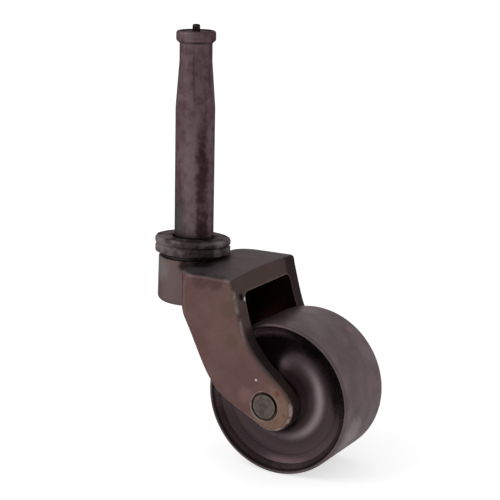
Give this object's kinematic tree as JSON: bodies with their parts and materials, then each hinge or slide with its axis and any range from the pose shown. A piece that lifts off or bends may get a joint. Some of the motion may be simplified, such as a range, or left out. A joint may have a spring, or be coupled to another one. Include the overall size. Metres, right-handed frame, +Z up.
{
  "type": "swivel castor",
  "caption": "Small antique-finish swivel castor: necked leg socket with loose collar, cast swept fork and a solid wheel on a riveted axle.",
  "frame": {"origin": "on the swivel axis, in the plane where the collar's highest point meets the underside of the furniture leg", "axes": "+Z up the stem along the swivel axis, +X to the rear, where the wheel trails, Y along the axle"},
  "size_m": [0.0493, 0.028, 0.0899],
  "materials": {
    "wheel_brass": "dark antiqued, rubbed on the tread",
    "horn_brass": "dark antiqued casting, worn at the edges",
    "socket_brass": "dark antiqued, satin",
    "rivet_steel": "dulled",
    "pin_steel": "dark, oiled",
    "washer_steel": "dark, oiled"
  },
  "bodies": {
    "socket": {"leg_sleeve": "socket_brass", "socket_collar": "socket_brass"},
    "fork": {"horn": "horn_brass", "swivel_pin": "pin_steel", "thrust_washer": "washer_steel", "axle_rivet": "rivet_steel", "near_side_washer": "washer_steel", "far_side_washer": "washer_steel"},
    "wheel": {"wheel": "wheel_brass"}
  },
  "joints": [
    {"name": "swivel", "type": "hinge", "parent": "socket", "child": "fork", "pos_m": [0, 0, 0], "axis": [0, 0, 1], "continuous": true},
    {"name": "wheel_spin", "type": "hinge", "parent": "fork", "child": "wheel", "pos_m": [0.0251, 0, -0.0299], "axis": [0, 1, 0], "continuous": true}
  ]
}
